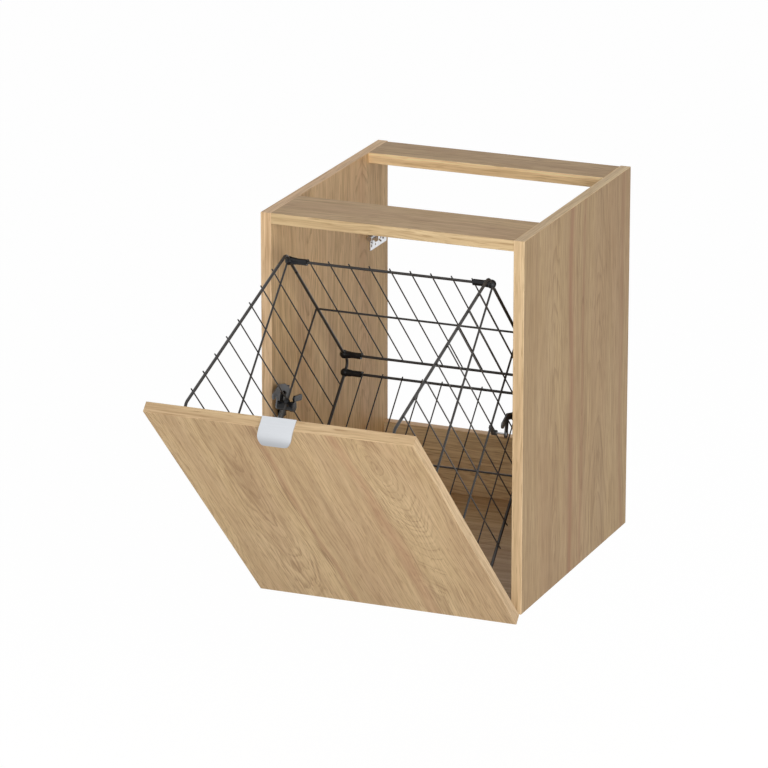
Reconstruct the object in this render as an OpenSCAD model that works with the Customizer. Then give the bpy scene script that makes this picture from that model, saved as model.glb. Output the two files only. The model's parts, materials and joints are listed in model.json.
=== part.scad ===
// Under-counter laundry cabinet: an oak board carcass that hangs on a wall, with a
// tilt-out front that carries a wire laundry basket. It is drawn with the front open.
// +X is to the right, -Y to the front and +Z up. The origin is at the wall plane,
// at the middle of the carcass's lower back edge.

/* [Carcass] */
// Width over the side panels
cabinet_w = 400; // [360:5:600]
// Height of the side panels
cabinet_h = 550; // [545:1:620]
// Depth of the side panels, without the front
carcass_d = 432; // [425:1:560]
// Thickness of every board
board_t = 16; // [15:0.5:19]
// Height of the low back board above the bottom panel
back_board_h = 100; // [70:1:160]
// Width of the front top rail, front to back
front_rail_w = 100; // [70:1:120]
// Width of the rear top rail, front to back
rear_rail_w = 70; // [60:1:100]
// Distance from the rear edge to the rear top rail
rear_rail_inset = 4; // [2:0.5:10]
// Easing of the boards' edges
edge_ease = 0.5; // [0.2:0.1:1]

/* [Joinery] */
// Diameter of the wooden dowels
dowel_d = 8; // [6:0.5:8]
// Length of the dowels
dowel_l = 30; // [25:1:35]
// Depth of the dowels in a side panel
dowel_in_panel = 10; // [8:0.5:11]
// Distance of the bottom panel's dowels from its front and rear edges
dowel_inset = 60; // [30:1:75]
// Diameter of the cam locks
cam_d = 15; // [12:0.5:15]
// Depth of the cam lock pockets
cam_depth = 12.5; // [11:0.1:12.8]
// Distance from a board's end to its cam lock
cam_inset = 24; // [20:1:34]
// Distance of the bottom panel's cam locks from its front and rear edges
cam_edge = 100; // [90:1:150]
// Diameter of the cam bolts
cam_bolt_d = 5; // [4:0.5:6]
// Slack all round each dowel, bolt, cam and screw
fit_slack = 0.05; // [0.02:0.01:0.08]

/* [Front panel] */
// Gap between the front panel and the carcass
door_gap = 2; // [2:0.1:3]
// Side gap between the front panel and the carcass's outer faces
door_side_gap = 2; // [1:0.1:4]
// Height of the front panel's lower edge above the carcass's lower edge
door_bottom_gap = 2; // [2:0.1:4]
// Distance of the front panel's top edge below the carcass's top edge
door_top_gap = 2.5; // [2.5:0.1:6]
// Tilt of the front panel when it rests open
open_angle = 45.3; // [40:0.1:48]

/* [Hinges] */
// Height of the hinge axis above the carcass's lower edge
hinge_z = 0.3; // [0:0.1:0.5]
// Length of each hinge
hinge_l = 50; // [40:1:60]
// Distance of each hinge's middle from the side panel's outer face
hinge_inset = 95; // [60:1:120]
// Outer diameter of the hinge knuckles
knuckle_d = 3.8; // [3.6:0.1:4]
// Diameter of the hinge pins
hinge_pin_d = 2; // [1.8:0.1:2.2]
// Thickness of the hinge leaves
leaf_t = 0.8; // [0.7:0.05:0.9]
// Height of the leaf on the front panel
door_leaf_h = 32; // [28:1:36]

/* [Handle] */
// Width of the tab handle
handle_w = 50; // [35:1:80]
// Thickness of its sheet
handle_t = 2; // [1.5:0.1:2.2]
// Radius of the curve in front of the front panel, at the outer face
handle_r = 33; // [25:1:40]
// Angle through which the sheet curves down
handle_bend = 45; // [30:1:60]
// Corner radius of the handle's front edge
handle_corner_r = 12; // [6:0.5:16]
// Height of the flange let into the back of the front panel
handle_flange_h = 14; // [12:0.5:20]

/* [Basket] */
// Distance of the middle of each side frame from the side panel
basket_side_gap = 30.5; // [28:0.5:45]
// Depth of the basket between the middles of its uprights
basket_d = 336; // [300:1:350]
// Distance of the front uprights behind the carcass's front edge
basket_front = 4.7; // [4:0.1:8]
// Height of the basket's bottom wires
basket_z = 45; // [42:1:70]
// Distance of the rim's front corner below the carcass's top edge
rim_top_gap = 24; // [22:0.5:60]
// How much the rim rises from the back to the front
rim_rise = 165; // [120:1:166]
// Wire diameter of the side frames
frame_wire_d = 4.5; // [4:0.1:6]
// Wire diameter of the cross rods
rod_d = 4; // [3.5:0.1:5]
// Wire diameter of the level stiffening wires
mid_wire_d = 3; // [2.5:0.1:3.5]
// Wire diameter of the mesh
mesh_wire_d = 2; // [1.8:0.1:2.5]
// Spacing of the mesh wires on the back and bottom
mesh_pitch = 31.1; // [25:0.1:40]
// Number of bays between the mesh wires on each side
side_bays = 9; // [6:1:12]
// Bend radius at the bottom corners of the side frames
low_bend_r = 12; // [9:0.5:12]
// Bend radius at the top corners of the side frames
top_bend_r = 11; // [9:0.5:12]
// Distance of the upper cross rod and level wires below the rim's back corner
upper_rod_drop = 17; // [17:0.5:30]
// Height of the middle level wires
middle_wire_z = 202.5; // [200:0.5:206]
// Height of the cross rod low on the back above the bottom wires
low_rod_rise = 22; // [22:1:45]
// Distance from the rear bottom bend to the connectors of the bottom's rear cross rod
rear_rod_gap = 0.2; // [0.2:0.1:15]
// Distance from the front bottom bend to the connectors of the bottom's front cross rod
front_rod_gap = 1.8; // [0.2:0.1:15]

/* [Rod connectors] */
// Diameter of the ball on the side frame
ball_d = 13; // [11:0.5:13]
// Diameter of the sleeve round the rod
sleeve_d = 9.2; // [6.5:0.1:10]
// Reach of the sleeve from the side frame
sleeve_l = 27.5; // [20:0.5:28]

/* [Tilt stops] */
// Distance of the stop block behind the carcass's front edge
stop_y = 19; // [18:0.5:20]
// Length of the stop block, front to back
stop_l = 17; // [15:0.5:17]
// Height of the stop block's lower end
stop_z = 240; // [235:1:242]
// Height of the stop block
stop_h = 36; // [32:0.5:36]
// Thickness of the stop block
stop_t = 6; // [5:0.1:6]
// Play between the stop block and the hook
stop_play = 1; // [0.9:0.05:1.5]
// Distance of the lever axis below the middle level wire, with the front panel closed
lever_drop = 15; // [13:0.5:16.5]
// Sideways clearance between the stop block and the lever
lever_gap = 2; // [1.5:0.1:2.5]
// Thickness of the lever
lever_t = 2; // [1.5:0.1:2.5]
// Diameter of the lever shaft
shaft_d = 3; // [2.5:0.1:3.5]
// Diameter of the left holder on the basket wire
holder_d = 13; // [11:0.5:14]
// Diameter of the slim clip that carries the right lever
clip_d = 8; // [7.8:0.1:9]
// Diameter of the release knob
knob_d = 15; // [12:0.5:15]

/* [Wall hangers] */
// Length of the hanger plate, front to back
hanger_l = 62; // [60:1:64]
// Height of the hanger plate
hanger_h = 52; // [50:1:54]
// Distance of the hanger plate's upper edge below the carcass's top edge
hanger_drop = 99.5; // [80:0.5:130]
// Distance of the hanger plate from the wall
hanger_back = 9; // [8:0.5:12]
// Width of the hanger's folded front flange
hanger_w = 14; // [12:0.5:16]
// Thickness of the hanger plate
hanger_t = 1.5; // [1.2:0.1:2]

/* [Hidden] */
$fn = 48;
half_w = cabinet_w / 2;
inner_x = half_w - board_t;
front_y = -carcass_d;
rail_z = cabinet_h - board_t;
oak = [0.78, 0.64, 0.47];
oak_edge = [0.86, 0.73, 0.54];
wire_grey = [0.25, 0.25, 0.27];
black = [0.11, 0.11, 0.12];
steel = [0.72, 0.73, 0.75];
zinc = [0.80, 0.81, 0.83];

// Places below are [distance behind the carcass's front edge, height].
dowel_sites = [
    [dowel_inset, board_t / 2],
    [carcass_d - dowel_inset, board_t / 2],
    [front_rail_w * 0.2, rail_z + board_t / 2],
    [front_rail_w * 0.8, rail_z + board_t / 2],
    [rear_rail_y(0.2), rail_z + board_t / 2],
    [rear_rail_y(0.8), rail_z + board_t / 2],
    [carcass_d - board_t / 2, board_t + back_board_h * 0.2],
    [carcass_d - board_t / 2, board_t + back_board_h * 0.8],
];
down_cam_sites = [
    [cam_edge, board_t / 2],
    [carcass_d - cam_edge, board_t / 2],
    [front_rail_w * 0.5, rail_z + board_t / 2],
    [rear_rail_y(0.5), rail_z + board_t / 2],
];
back_cam_sites = [[carcass_d - board_t / 2, board_t + back_board_h * 0.5]];

door_w = cabinet_w - 2 * door_side_gap;
door_h = cabinet_h - door_bottom_gap - door_top_gap;
door_top = door_bottom_gap + door_h;
door_back = -door_gap;
door_front = door_back - board_t;
hinge_x = half_w - hinge_inset;
hinge_y = -door_gap / 2;
knuckle_gap = 0.3;
knuckle_l = (hinge_l - 2 * knuckle_gap) / 3;
notch_d = knuckle_d + 1;
leaf_screw_d = 3;
leaf_screw_head_d = 5;
leaf_screw_l = 11;
leaf_screw_x = hinge_l * 0.3;
fixed_leaf_top = board_t - 1.5;
fixed_screw_z = fixed_leaf_top - 5;
door_screw_z = door_leaf_h - 7;

handle_screw_x = handle_w * 0.3;
handle_screw_d = 3;
handle_screw_head_d = 5.5;
handle_screw_l = 11;
bumper_d = 8;
bumper_t = door_gap - 0.2;
bumper_z = door_top - 18;

frame_x = inner_x - basket_side_gap;
basket_back_h = cabinet_h - rim_top_gap - rim_rise - basket_z;
upper_rod_z = basket_z + basket_back_h - upper_rod_drop;
low_rod_z = basket_z + low_rod_rise;
frame_r = frame_wire_d / 2;
basket_back = basket_front + basket_d;
bend_step = 0.1;
weld = 0.25;
mesh_x = frame_x + frame_r + mesh_wire_d / 2 - weld;
mid_x = frame_x + frame_r;
side_pitch = basket_d / side_bays;
rim_slope = rim_rise / basket_d;
tick = 2.2;
bottom_tick = 1;
mesh_foot = 6;
// The thinner middle wires are set out level with the rods, where the mesh is welded on.
mid_out = (rod_d - mid_wire_d) / 2;
mesh_out = rod_d / 2 + mesh_wire_d / 2 - weld;
back_mesh_y = basket_back + mesh_out;
bottom_mesh_z = basket_z + mesh_out;
rear_rod_y = basket_back - low_bend_r - ball_d / 2 - rear_rod_gap;
front_rod_y = basket_front + low_bend_r + ball_d / 2 + front_rod_gap;
mesh_count = floor((frame_x - sleeve_l - mesh_wire_d / 2 - 0.3) / mesh_pitch);
saddle_zs = [105, 470];
saddle_w = 36;
saddle_h = 12;
saddle_base_t = 3;
saddle_screw_x = 13;
saddle_screw_d = 3;
saddle_screw_head_d = 5.4;
saddle_screw_l = 13;

// The fifth mesh wire from the front carries the lever holder.
lever_wire_y = basket_front + side_pitch * 5;
lever_z = middle_wire_z - lever_drop;
lever_y = lever_wire_y - mesh_wire_d / 2 - shaft_d / 2 - 0.3;
lever_out_x = inner_x - stop_t - lever_gap;
lever_in_x = lever_out_x - lever_t;
holder_out_x = lever_in_x - 0.3;
holder_in_x = mesh_x - 2.5;
clip_out_x = holder_in_x + 7;
clip_arm_w = 5;
holder_wall = 1.4;
holder_arm_w = 8;
knob_out_x = holder_in_x - 0.3;
knob_t = 5;
shaft_slack = 0.05;
shaft_head_d = 6;
shaft_head_t = 1.2;
// Where the lever axis lies with the front panel open
lever_open = opened([lever_y, lever_z]);
hook_y = stop_y + stop_l + stop_play - lever_open[0];
hook_t = 3;
hook_low = stop_z + stop_h - 5 - lever_open[1];
hook_top = hook_low + 14;
lever_tip = [-13, 17];
lever_crown = [4, 24.5];
lever_bend = [24, 20];
lever_root = [hook_y - 1.5, (hook_low + hook_top) / 2];
lever_heel = [30, -1];
lever_tail = [6, -21];
// The left lever runs on past its hook to a tail below the knob; the right one ends at its hook.
right_lever_line = [lever_tip, lever_crown, lever_bend, lever_root];
left_lever_line = concat(right_lever_line, [lever_heel, lever_tail]);
arc_r = 5;
round_proud = 0.2;
paddle_from = [4, 11];
paddle_to = [23, 8];
paddle_r = 4.5;
paddle_t = 3;
paddle_over = 0.25;
stop_screw_d = 3;
stop_screw_head_d = 5.6;
stop_screw_l = 16;
stop_screw_inset = 8;

hanger_z = cabinet_h - hanger_drop - hanger_h;
hanger_front = carcass_d - hanger_back - hanger_l;
flange_low = 17;
hook_rise = 18;
hook_plate_t = 5;
hook_plate_h = 24;
hook_plate_z = hanger_z + hook_rise;
hook_inset = 10;
hook_gap = 0.3;
hook_reach = 2;
hook_lip_h = 10;
hook_lip_t = 2.5;
adjust_screw_d = 4;
adjust_screw_head_d = 7.6;
adjust_screw_head_t = 2;
adjust_screw_l = 34;
adjust_screw_out = 11;
adjust_screw_rises = [3.5, 18];
hanger_screw_d = 5;
hanger_screw_head_d = 8;
hanger_screw_l = 10;
hanger_screw_head_t = 1.4;
// Places on the hanger plate are [distance behind its front edge, height].
hanger_screw_sites = [[8.5, 13], [hanger_l - 10, 9], [hanger_l - 26, hanger_h - 6]];
hanger_holes = [[19.5, 5.5], [15, 17.5], [24.5, 14.5], [38.5, 11.2]];
hanger_hole_d = 3.6;
hanger_slot = [[14.5, 13], [20, 10], [33.5, 9.2], [41, 4.8]];
hanger_slot_w = 3;
hanger_window = [2.6, 4.4];
hanger_window_size = [4.4, 4.6];

function rear_rail_y(share) = carcass_d - rear_rail_inset - rear_rail_w * (1 - share);

// Turns a place on the closed front panel or basket to where it is when open.
function opened(p) =
    let (y = p[0] - hinge_y, z = p[1] - hinge_z)
    [hinge_y + y * cos(open_angle) - z * sin(open_angle),
     hinge_z + y * sin(open_angle) + z * cos(open_angle)];

module mirrored() {
    mirror([1, 0, 0]) children();
}

module both_sides() {
    children();
    mirrored() children();
}

// A board's section with all four edges eased
module eased(a, b) {
    e = edge_ease;
    polygon([[e, 0], [a - e, 0], [a, e], [a, b - e], [a - e, b], [e, b], [0, b - e], [0, e]]);
}

// A board's section with only its front edges eased
module eased_in_front(a, b) {
    e = edge_ease;
    polygon([[e, 0], [a, 0], [a, b], [e, b], [0, b - e], [0, e]]);
}

// Runs a side view from the left side panel to the right one.
module between_panels(y, z) {
    translate([-inner_x, y, z]) rotate([90, 0, 90]) linear_extrude(height = 2 * inner_x) children();
}

// Sets what is measured from the carcass's front edge in its place.
module from_front() {
    translate([0, front_y, 0]) children();
}

// Tilts what is drawn with the front panel closed to its open rest position.
module tilted() {
    translate([0, hinge_y, hinge_z])
        rotate([open_angle, 0, 0])
            translate([0, -hinge_y, -hinge_z]) children();
}

// A cylinder along +X from [x, y, z]
module x_cylinder(x, y, z, l, d) {
    translate([x, y, z]) rotate([0, 90, 0]) cylinder(h = l, d = d);
}

// A cylinder along +Y from [x, y, z]
module y_cylinder(x, y, z, l, d) {
    translate([x, y, z]) rotate([-90, 0, 0]) cylinder(h = l, d = d);
}

// A countersunk screw along -Z with the top of its head at z = 0
module countersunk(d, head_d, l, slack = 0) {
    head_h = (head_d - d) / 2;
    translate([0, 0, -l - slack]) cylinder(h = l + slack, d = d + 2 * slack);
    translate([0, 0, -head_h - slack])
        cylinder(h = head_h + slack, d1 = d, d2 = head_d + 2 * slack);
    if (slack > 0) cylinder(h = 1, d = head_d + 2 * slack);
}

// Carcass joinery, drawn on the right side: the side panel's inner face is at inner_x

module x_bar(from_x, to_x, y, z, d) {
    x_cylinder(min(from_x, to_x), y, z, abs(to_x - from_x), d);
}

module dowels_right(slack = 0) {
    for (p = dowel_sites)
        x_bar(inner_x + dowel_in_panel + slack, inner_x + dowel_in_panel - dowel_l - slack,
              front_y + p[0], p[1], dowel_d + 2 * slack);
}

module cam_bolts_right(slack = 0) {
    for (p = concat(down_cam_sites, back_cam_sites)) {
        x_bar(inner_x + dowel_in_panel + slack, inner_x - cam_inset - slack,
              front_y + p[0], p[1], cam_bolt_d + 2 * slack);
        x_bar(inner_x - cam_inset + 2 + slack, inner_x - cam_inset - 2 - slack,
              front_y + p[0], p[1], cam_bolt_d + 2 + 2 * slack);
    }
}

// One cam lock or its pocket along +Z from its open face
module cam_shape(slack = 0) {
    translate([0, 0, slack > 0 ? -1 : 0])
        cylinder(h = cam_depth + (slack > 0 ? 1 + slack : 0), d = cam_d + 2 * slack);
}

module at_cams_right() {
    for (p = down_cam_sites)
        translate([inner_x - cam_inset, front_y + p[0], p[1] - board_t / 2]) children();
    for (p = back_cam_sites)
        translate([inner_x - cam_inset, front_y + p[0] + board_t / 2, p[1]])
            rotate([90, 0, 0]) children();
}

// Cuts that the dowels, bolts and cams need in the boards on both sides
module joinery_cuts() {
    both_sides() {
        dowels_right(fit_slack);
        cam_bolts_right(fit_slack);
        at_cams_right() cam_shape(fit_slack);
    }
}

module side_panel_right() {
    color(oak) difference() {
        translate([inner_x, front_y, 0]) intersection() {
            linear_extrude(height = cabinet_h) eased(board_t, carcass_d);
            translate([0, carcass_d, 0]) rotate([90, 0, 0])
                linear_extrude(height = carcass_d) eased(board_t, cabinet_h);
        }
        dowels_right(fit_slack);
        cam_bolts_right(fit_slack);
        stop_screws_right(fit_slack);
        hanger_screws_right(fit_slack);
    }
}

module left_side_panel() { mirrored() side_panel_right(); }
module right_side_panel() { side_panel_right(); }

module bottom_panel() {
    color(oak) difference() {
        between_panels(front_y, 0) eased_in_front(carcass_d, board_t);
        joinery_cuts();
        both_sides() {
            knuckle_notch_right();
            fixed_leaf_screws_right(fit_slack);
        }
    }
}

module back_board() {
    color(oak) difference() {
        between_panels(-board_t, board_t) eased(board_t, back_board_h);
        joinery_cuts();
    }
}

module front_top_rail() {
    color(oak_edge) difference() {
        between_panels(front_y, rail_z) eased(front_rail_w, board_t);
        joinery_cuts();
    }
}

module rear_top_rail() {
    color(oak) difference() {
        between_panels(front_y + rear_rail_y(0), rail_z) eased(rear_rail_w, board_t);
        joinery_cuts();
    }
}

module dowels() {
    color([0.85, 0.74, 0.55]) both_sides() dowels_right();
}

module cam_bolts() {
    color(zinc) both_sides() cam_bolts_right();
}

module cam_locks() {
    color(zinc) both_sides() difference() {
        at_cams_right() difference() {
            cam_shape();
            translate([0, 0, 0.6]) cube([cam_d * 0.5, 1.4, 3], center = true);
            translate([0, 0, 0.6]) cube([1.4, cam_d * 0.5, 3], center = true);
        }
        cam_bolts_right(fit_slack);
    }
}

// Wall hangers, drawn on the right side

module on_panel_right(y, z) {
    translate([inner_x, front_y + y, z]) rotate([0, -90, 0]) children();
}

module hanger_screws_right(slack = 0) {
    for (p = hanger_screw_sites)
        on_panel_right(hanger_front + p[0], hanger_z + p[1]) {
            translate([0, 0, -hanger_screw_l - slack])
                cylinder(h = hanger_screw_l + hanger_t + 2 * slack, d = hanger_screw_d + 2 * slack);
            if (slack == 0)
                translate([0, 0, hanger_t]) cylinder(h = hanger_screw_head_t, d = hanger_screw_head_d);
        }
}

module adjust_screws_right(slack = 0) {
    x = inner_x - hanger_t - hook_gap - hook_plate_t / 2;
    for (rise = adjust_screw_rises) {
        y_cylinder(x, front_y + hanger_front - adjust_screw_out, hook_plate_z + rise,
                   adjust_screw_l + slack, adjust_screw_d + 2 * slack);
        if (slack == 0)
            y_cylinder(x, front_y + hanger_front - adjust_screw_out, hook_plate_z + rise,
                       adjust_screw_head_t, adjust_screw_head_d);
    }
}

// Cuts through the hanger plate at a place on it
module through_hanger(p, l) {
    translate([inner_x - hanger_t - 1, front_y + hanger_front + p[0], hanger_z + p[1]])
        rotate([90, 0, 90]) linear_extrude(height = l) children();
}

module wall_hanger_right() {
    x_face = inner_x - hanger_t;
    x_front = inner_x - hanger_w;
    y0 = front_y + hanger_front;
    color(zinc) difference() {
        union() {
            translate([x_face, y0, hanger_z]) cube([hanger_t, hanger_l, hanger_h]);
            translate([x_front, y0, hanger_z + flange_low])
                cube([hanger_w, hanger_t, hanger_h - flange_low]);
            translate([x_front, y0, hanger_z + hanger_h - hanger_t])
                cube([hanger_w, hanger_l, hanger_t]);
        }
        // Round holes, a cranked slot and a window lighten the plate.
        for (p = hanger_holes) through_hanger(p, hanger_t + 2) circle(d = hanger_hole_d);
        for (i = [0:len(hanger_slot) - 2])
            through_hanger([0, 0], hanger_t + 2)
                strip(hanger_slot[i], hanger_slot[i + 1], hanger_slot_w / 2);
        through_hanger([0, 0], hanger_t + 2) round_ends(hanger_slot, hanger_slot_w / 2);
        through_hanger(hanger_window, hanger_t + 2) square(hanger_window_size);
        hanger_screws_right(fit_slack);
        adjust_screws_right(fit_slack);
    }
}

module left_wall_hanger() { mirrored() wall_hanger_right(); }
module right_wall_hanger() { wall_hanger_right(); }

module hanger_hook_right() {
    x0 = inner_x - hanger_t - hook_gap - hook_plate_t;
    y0 = front_y + hanger_front + hook_inset;
    rear = -hook_reach;
    color(zinc) difference() {
        union() {
            translate([x0, y0, hook_plate_z]) cube([hook_plate_t, rear - y0, hook_plate_h]);
            translate([x0, rear - hook_lip_t, hook_plate_z - hook_lip_h])
                cube([hook_plate_t, hook_lip_t, hook_lip_h + 1]);
        }
        adjust_screws_right(fit_slack);
    }
}

module left_hanger_hook() { mirrored() hanger_hook_right(); }
module right_hanger_hook() { hanger_hook_right(); }

module hanger_adjusting_screws() {
    color(steel) both_sides() adjust_screws_right();
}

module hanger_fixing_screws() {
    color(steel) both_sides() hanger_screws_right();
}

// Stop blocks on the side panels, drawn on the right side

module stop_screws_right(slack = 0) {
    for (z = [stop_z + stop_screw_inset, stop_z + stop_h - stop_screw_inset])
        on_panel_right(stop_y + stop_l / 2, z) translate([0, 0, stop_t])
            countersunk(stop_screw_d, stop_screw_head_d, stop_screw_l, slack);
}

module stop_block_right() {
    color(black) difference() {
        translate([inner_x - stop_t, front_y + stop_y, stop_z]) cube([stop_t, stop_l, stop_h]);
        stop_screws_right(fit_slack);
    }
}

module left_stop_block() { mirrored() stop_block_right(); }
module right_stop_block() { stop_block_right(); }

module stop_block_screws() {
    color(steel) both_sides() stop_screws_right();
}

// Hinges, drawn on the right side with the front panel closed

module knuckle_notch_right() {
    x_bar(hinge_x - hinge_l / 2 - 0.5, hinge_x + hinge_l / 2 + 0.5,
          front_y + hinge_y, hinge_z, notch_d);
}

module fixed_leaf_screws_right(slack = 0) {
    for (x = [hinge_x - leaf_screw_x, hinge_x + leaf_screw_x])
        translate([x, front_y - leaf_t, fixed_screw_z]) rotate([90, 0, 0])
            countersunk(leaf_screw_d, leaf_screw_head_d, leaf_screw_l, slack);
}

module front_leaf_screws_right(slack = 0) {
    for (x = [hinge_x - leaf_screw_x, hinge_x + leaf_screw_x])
        translate([x, door_back + leaf_t, door_screw_z]) rotate([-90, 0, 0])
            countersunk(leaf_screw_d, leaf_screw_head_d, leaf_screw_l, slack);
}

// Knuckles number a to b of three, from the left
module knuckles_right(a, b) {
    for (i = [a:2:b])
        x_bar(hinge_x - hinge_l / 2 + i * (knuckle_l + knuckle_gap),
              hinge_x - hinge_l / 2 + i * (knuckle_l + knuckle_gap) + knuckle_l,
              hinge_y, hinge_z, knuckle_d);
}

// The strips of leaf that run from the knuckles into the plate
module knuckle_webs_right(a, b, y, top) {
    for (i = [a:2:b])
        translate([hinge_x - hinge_l / 2 + i * (knuckle_l + knuckle_gap), y, hinge_z])
            cube([knuckle_l, leaf_t, top - hinge_z]);
}

module leaf_bore_right(slack) {
    x_bar(hinge_x - hinge_l / 2 - 1, hinge_x + hinge_l / 2 + 1, hinge_y, hinge_z,
          hinge_pin_d + 2 * slack);
}

module fixed_leaf_right() {
    low = hinge_z + knuckle_d / 2 + knuckle_gap;
    color(steel) from_front() difference() {
        union() {
            knuckles_right(0, 2);
            knuckle_webs_right(0, 2, -leaf_t, low + 1);
            translate([hinge_x - hinge_l / 2, -leaf_t, low])
                cube([hinge_l, leaf_t, fixed_leaf_top - low]);
        }
        leaf_bore_right(shaft_slack);
        translate([0, carcass_d, 0]) fixed_leaf_screws_right(fit_slack);
    }
}

module left_hinge_fixed_leaf() { mirrored() fixed_leaf_right(); }
module right_hinge_fixed_leaf() { fixed_leaf_right(); }

module hinge_pin_right() {
    color(steel) from_front()
        x_bar(hinge_x - hinge_l / 2, hinge_x + hinge_l / 2, hinge_y, hinge_z, hinge_pin_d);
}

module left_hinge_pin() { mirrored() hinge_pin_right(); }
module right_hinge_pin() { hinge_pin_right(); }

module fixed_leaf_screws() {
    color(steel) both_sides() fixed_leaf_screws_right();
}

module front_leaf_right() {
    low = hinge_z + knuckle_d / 2 + knuckle_gap;
    color(steel) difference() {
        union() {
            knuckles_right(1, 1);
            knuckle_webs_right(1, 1, door_back, low + 1);
            translate([hinge_x - hinge_l / 2, door_back, low])
                cube([hinge_l, leaf_t, door_leaf_h - low]);
        }
        leaf_bore_right(shaft_slack);
        front_leaf_screws_right(fit_slack);
    }
}

module left_hinge_front_leaf() { from_front() tilted() mirrored() front_leaf_right(); }
module right_hinge_front_leaf() { from_front() tilted() front_leaf_right(); }

module front_leaf_screws() {
    color(steel) from_front() tilted() both_sides() front_leaf_screws_right();
}

// Front panel and handle, drawn closed

module handle_screws_closed(slack = 0) {
    for (x = [-handle_screw_x, handle_screw_x])
        translate([x, door_back, door_top - handle_flange_h / 2]) rotate([-90, 0, 0])
            countersunk(handle_screw_d, handle_screw_head_d, handle_screw_l, slack);
}

module front_panel() {
    color(oak) from_front() tilted() difference() {
        translate([-door_w / 2, door_front, door_bottom_gap]) intersection() {
            linear_extrude(height = door_h) eased(door_w, board_t);
            rotate([90, 0, 90]) linear_extrude(height = door_w) eased(board_t, door_h);
        }
        translate([-handle_w / 2 - fit_slack, door_back - handle_t, door_top - handle_flange_h - fit_slack])
            cube([handle_w + 2 * fit_slack, handle_t + 1, handle_flange_h + 1]);
        handle_screws_closed(fit_slack);
        both_sides() {
            front_leaf_screws_right(fit_slack);
            x_bar(hinge_x - hinge_l / 2 - 0.5, hinge_x + hinge_l / 2 + 0.5, hinge_y, hinge_z, notch_d);
        }
        saddle_screws_closed(fit_slack);
    }
}

module front_bumpers() {
    color([0.85, 0.85, 0.83]) from_front() tilted() both_sides()
        y_cylinder(half_w - board_t / 2, door_back, bumper_z, bumper_t, bumper_d);
}

// Side view of the handle: flange behind the panel, strip over its edge, curved lip
module handle_profile() {
    translate([door_back - handle_t, door_top - handle_flange_h])
        square([handle_t, handle_flange_h + handle_t]);
    translate([door_front, door_top]) square([board_t, handle_t]);
    intersection() {
        translate([door_front, door_top + handle_t - handle_r]) difference() {
            circle(r = handle_r, $fn = 128);
            circle(r = handle_r - handle_t, $fn = 128);
        }
        translate([door_front, door_top + handle_t - handle_r])
            polygon([
                [0, 0],
                [0, 2 * handle_r],
                [-2 * handle_r * tan(handle_bend / 2), 2 * handle_r],
                [-2 * handle_r * sin(handle_bend), 2 * handle_r * cos(handle_bend)],
            ]);
    }
}

// Outline of the handle from above, with round front corners
module handle_outline() {
    front = door_front - handle_r * sin(handle_bend);
    translate([-handle_w / 2, front + handle_corner_r])
        square([handle_w, -front - handle_corner_r + 1]);
    translate([-handle_w / 2 + handle_corner_r, front])
        square([handle_w - 2 * handle_corner_r, handle_corner_r + 1]);
    for (x = [-1, 1])
        translate([x * (handle_w / 2 - handle_corner_r), front + handle_corner_r])
            circle(r = handle_corner_r);
}

module handle() {
    color([0.86, 0.87, 0.88]) from_front() tilted() difference() {
        intersection() {
            translate([-handle_w / 2 - 1, 0, 0]) rotate([90, 0, 90])
                linear_extrude(height = handle_w + 2) handle_profile();
            translate([0, 0, door_top - 2 * handle_r])
                linear_extrude(height = 4 * handle_r) handle_outline();
        }
        handle_screws_closed(fit_slack);
    }
}

module handle_screws() {
    color(steel) from_front() tilted() handle_screws_closed();
}

// Basket, drawn closed: points are [x, distance behind the carcass's front edge, z]

module wire(a, b, d) {
    v = b - a;
    translate(a) rotate([0, acos(v[2] / norm(v)), atan2(v[1], v[0])])
        cylinder(h = norm(v), d = d);
}

// The side frame is a closed loop with these corners and bend radii.
frame_corners = [
    [basket_back, basket_z],
    [basket_back, basket_z + basket_back_h],
    [basket_front, basket_z + basket_back_h + rim_rise],
    [basket_front, basket_z],
];
frame_bends = [low_bend_r, top_bend_r, top_bend_r, low_bend_r];
function unit(v) = v / norm(v);
function corner(i) = frame_corners[(i + 4) % 4];
function run_in(i) = unit(corner(i) - corner(i - 1));
function run_out(i) = unit(corner(i + 1) - corner(i));
function turn(i) = acos(run_in(i) * run_out(i));
function bend_start(i) = corner(i) - run_in(i) * frame_bends[i] * tan(turn(i) / 2);
function bend_end(i) = corner(i) + run_out(i) * frame_bends[i] * tan(turn(i) / 2);
function in_frame(p) = [frame_x, p[0], p[1]];

// The loop runs anticlockwise seen from +X, so each bend's centre is to its left.
module frame_bend(i) {
    left = [-run_in(i)[1], run_in(i)[0]];
    centre = bend_start(i) + left * frame_bends[i];
    translate(in_frame(centre)) rotate([90, 0, 90])
        rotate([0, 0, atan2(-left[1], -left[0])])
            rotate_extrude(angle = turn(i), $fn = 64)
                translate([frame_bends[i], 0]) circle(d = frame_wire_d - bend_step, $fn = 32);
}

module basket_side_right() {
    lap = 0.7;
    color(wire_grey) {
        for (i = [0:3]) {
            wire(in_frame(bend_end(i) - run_out(i) * lap),
                 in_frame(bend_start((i + 1) % 4) + run_out(i) * lap), frame_wire_d);
            frame_bend(i);
        }
        for (k = [1:side_bays - 1]) {
            y = basket_back - k * side_pitch;
            rim = basket_z + basket_back_h + (basket_back - y) * rim_slope;
            wire([mesh_x, y, basket_z - mesh_foot], [mesh_x, y, rim + tick + frame_r], mesh_wire_d);
        }
        for (z = [middle_wire_z, upper_rod_z])
            wire([mid_x, basket_front - 1, z], [mid_x, basket_back + 1, z], mid_wire_d);
    }
}

module basket_left_side() { from_front() tilted() mirrored() basket_side_right(); }
module basket_right_side() { from_front() tilted() basket_side_right(); }

module rod(y, z, d, end_x) {
    wire([-end_x, y, z], [end_x, y, z], d);
}

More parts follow.
